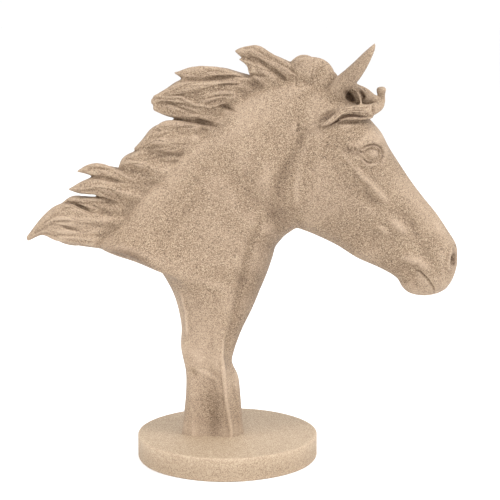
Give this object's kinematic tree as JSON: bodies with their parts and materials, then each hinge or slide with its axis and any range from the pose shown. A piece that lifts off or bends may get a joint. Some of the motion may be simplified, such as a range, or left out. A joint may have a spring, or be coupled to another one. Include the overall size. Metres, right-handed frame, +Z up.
{
  "type": "horse head sculpture",
  "caption": "Horse head and neck with a mane blown back, on a fluted stem and a round base, in one sand-textured casting finish.",
  "frame": {"origin": "centre of the round base's underside, on the surface the sculpture stands on", "axes": "+Z up, +X the way the horse looks, +Y its left side"},
  "size_m": [0.4156, 0.177, 0.401],
  "materials": {
    "sand_cast": "matte, speckled sand grain"
  },
  "bodies": {
    "root": {"horse_head": "sand_cast", "round_base": "sand_cast"}
  },
  "joints": []
}
